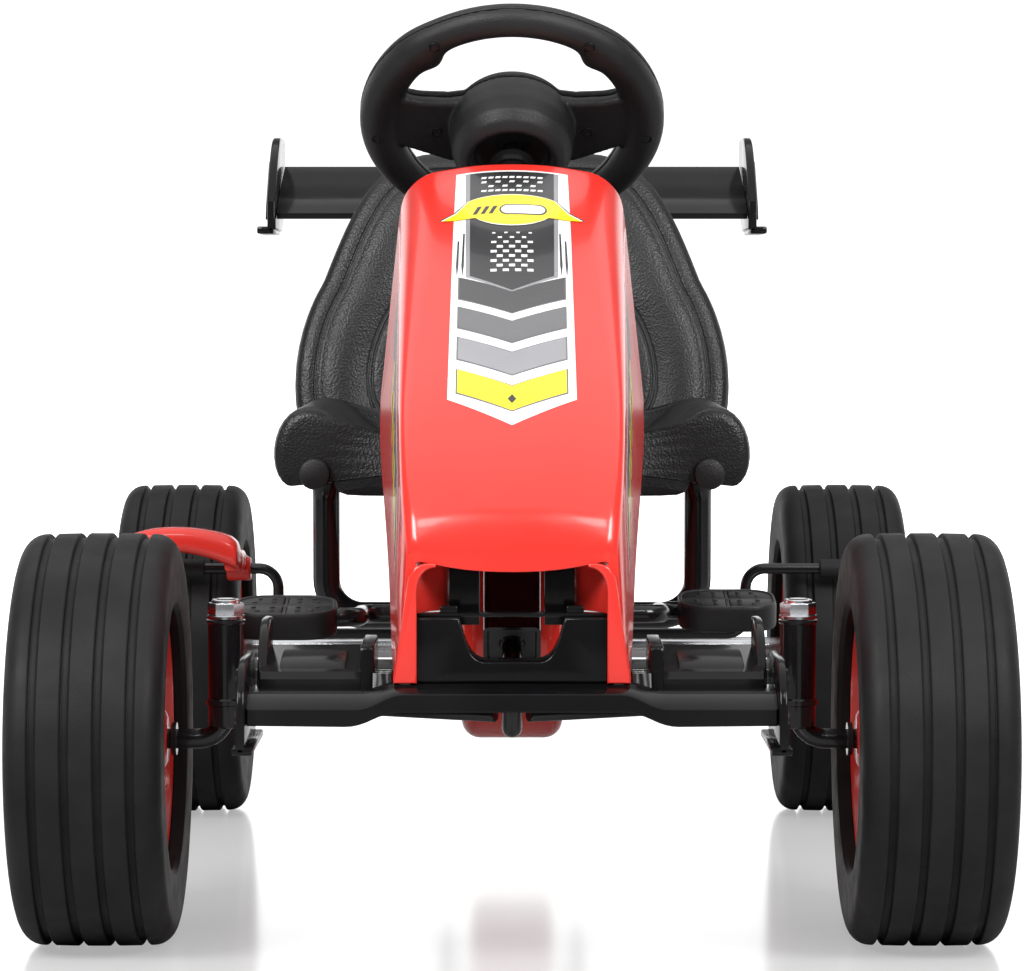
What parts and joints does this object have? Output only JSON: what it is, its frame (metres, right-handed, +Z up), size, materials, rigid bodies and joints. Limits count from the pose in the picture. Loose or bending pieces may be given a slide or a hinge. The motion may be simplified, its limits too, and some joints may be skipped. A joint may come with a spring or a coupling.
{
  "type": "pedal go-kart",
  "caption": "Child's pedal go-kart with tube frame, ribbed foam wheels, chain drive, steering, hand brake, sliding seat, nose cowl and wings.",
  "frame": {"origin": "on the ground on the centre line, midway between the front and rear axles, at the centre of the overall length", "axes": "+X to the driver's left, +Y from the nose to the tail, +Z up; the driver faces -Y"},
  "size_m": [0.59, 0.97, 0.5848],
  "materials": {
    "red_plastic": "glossy red moulded plastic",
    "gloss_black_plastic": "glossy black moulded plastic",
    "textured_black_plastic": "fine textured black moulded plastic",
    "frame_paint": "gloss black powder coat on steel",
    "tyre_foam": "matte black foam",
    "brake_rubber": "matte black rubber",
    "seat_skin": "satin black moulded seat with leather grain",
    "zinc_steel": "bright zinc plated steel",
    "dark_steel": "dark oiled steel",
    "bush_nylon": "dark nylon bush"
  },
  "bodies": {
    "chassis": {"main_frame": "frame_paint", "column_housing": "frame_paint", "column_bush_upper": "bush_nylon", "column_bush_lower": "bush_nylon", "chain": "dark_steel", "nose_cowl": "red_plastic", "nose_insert": "gloss_black_plastic", "front_wing": "gloss_black_plastic", "spoiler_plane": "gloss_black_plastic", "seat_tube_left": "frame_paint", "seat_tube_right": "frame_paint", "seat_tube_cap_left": "gloss_black_plastic", "seat_tube_cap_right": "gloss_black_plastic", "crank_bush_left": "bush_nylon", "crank_bush_right": "bush_nylon", "axle_bush_left": "bush_nylon", "axle_bush_right": "bush_nylon", "chain_guard_left": "red_plastic", "chain_guard_right": "red_plastic", "wing_end_plate_left": "gloss_black_plastic", "wing_end_plate_right": "gloss_black_plastic", "spoiler_post_left": "frame_paint", "spoiler_post_right": "frame_paint", "spoiler_end_left": "gloss_black_plastic", "spoiler_end_right": "gloss_black_plastic"},
    "steering": {"steering_column": "frame_paint", "steering_wheel_upper": "textured_black_plastic", "steering_wheel_lower": "textured_black_plastic", "steering_hub_cap": "textured_black_plastic", "column_collar": "gloss_black_plastic"},
    "left_spindle": {"spindle_left": "frame_paint", "kingpin_nut_left": "zinc_steel"},
    "right_spindle": {"spindle_right": "frame_paint", "kingpin_nut_right": "zinc_steel"},
    "left_tie_rod": {"tie_rod_left": "frame_paint"},
    "right_tie_rod": {"tie_rod_right": "frame_paint"},
    "left_front_wheel": {"tyre_front_left": "tyre_foam", "rim_front_left": "red_plastic", "wheel_cap_front_left": "gloss_black_plastic"},
    "right_front_wheel": {"tyre_front_right": "tyre_foam", "rim_front_right": "red_plastic", "wheel_cap_front_right": "gloss_black_plastic"},
    "drive_axle": {"rear_axle": "zinc_steel", "rear_sprocket": "dark_steel", "tyre_rear_right": "tyre_foam", "rim_rear_right": "red_plastic", "wheel_cap_rear_right": "gloss_black_plastic"},
    "left_rear_wheel": {"tyre_rear_left": "tyre_foam", "rim_rear_left": "red_plastic", "wheel_cap_rear_left": "gloss_black_plastic"},
    "crankset": {"pedal_crank": "dark_steel", "chainring": "dark_steel"},
    "left_pedal": {"pedal_left": "textured_black_plastic"},
    "right_pedal": {"pedal_right": "textured_black_plastic"},
    "brake": {"brake_bail": "frame_paint", "brake_handle": "red_plastic", "brake_sleeve_left": "brake_rubber", "brake_sleeve_right": "brake_rubber"},
    "seat": {"seat_base": "seat_skin", "seat_back": "seat_skin"}
  },
  "joints": [
    {"name": "steer", "type": "hinge", "parent": "chassis", "child": "steering", "pos_m": [0, -0.075, 0.512], "axis": [0, 0.6756, 0.7373], "range_deg": [-18, 18]},
    {"name": "left_kingpin", "type": "hinge", "parent": "chassis", "child": "left_spindle", "pos_m": [0.1735, -0.31, 0.17], "axis": [0, 0, 1], "range_deg": [-12, 12]},
    {"name": "left_tie_rod_eye", "type": "hinge", "parent": "left_spindle", "child": "left_tie_rod", "pos_m": [0.1735, -0.251, 0.1415], "axis": [0, 0, 1], "range_deg": [-12, 12]},
    {"name": "left_front_wheel_spin", "type": "hinge", "parent": "left_spindle", "child": "left_front_wheel", "pos_m": [0.249, -0.31, 0.125], "axis": [1, 0, 0], "continuous": true},
    {"name": "right_kingpin", "type": "hinge", "parent": "chassis", "child": "right_spindle", "pos_m": [-0.1735, -0.31, 0.17], "axis": [0, 0, 1], "range_deg": [-12, 12]},
    {"name": "right_tie_rod_eye", "type": "hinge", "parent": "right_spindle", "child": "right_tie_rod", "pos_m": [-0.1735, -0.251, 0.1415], "axis": [0, 0, 1], "range_deg": [-12, 12]},
    {"name": "right_front_wheel_spin", "type": "hinge", "parent": "right_spindle", "child": "right_front_wheel", "pos_m": [-0.249, -0.31, 0.125], "axis": [1, 0, 0], "continuous": true},
    {"name": "drive_axle_spin", "type": "hinge", "parent": "chassis", "child": "drive_axle", "pos_m": [0, 0.31, 0.125], "axis": [1, 0, 0], "continuous": true},
    {"name": "left_rear_wheel_spin", "type": "hinge", "parent": "drive_axle", "child": "left_rear_wheel", "pos_m": [0.249, 0.31, 0.125], "axis": [1, 0, 0], "continuous": true},
    {"name": "crank_spin", "type": "hinge", "parent": "chassis", "child": "crankset", "pos_m": [0, -0.155, 0.1885], "axis": [1, 0, 0], "continuous": true},
    {"name": "left_pedal_spin", "type": "hinge", "parent": "crankset", "child": "left_pedal", "pos_m": [0.1425, -0.09007, 0.18555], "axis": [1, 0, 0], "continuous": true},
    {"name": "right_pedal_spin", "type": "hinge", "parent": "crankset", "child": "right_pedal", "pos_m": [-0.1425, -0.21993, 0.19145], "axis": [1, 0, 0], "continuous": true},
    {"name": "brake_pull", "type": "hinge", "parent": "chassis", "child": "brake", "pos_m": [0, 0.19, 0.146], "axis": [-1, 0, 0], "range_deg": [0, 8]},
    {"name": "seat_slide", "type": "slide", "parent": "chassis", "child": "seat", "axis": [0, 1, 0], "range_m": [0, 0.03]}
  ],
  "couplings": [
    {"joint": "left_kingpin", "follows": "steer", "ratio": 0.6666},
    {"joint": "left_tie_rod_eye", "follows": "steer", "ratio": -0.6666},
    {"joint": "right_kingpin", "follows": "steer", "ratio": 0.6666},
    {"joint": "right_tie_rod_eye", "follows": "steer", "ratio": -0.6666},
    {"joint": "crank_spin", "follows": "drive_axle_spin", "ratio": 0.5},
    {"joint": "left_pedal_spin", "follows": "drive_axle_spin", "ratio": -0.5},
    {"joint": "right_pedal_spin", "follows": "drive_axle_spin", "ratio": -0.5}
  ]
}
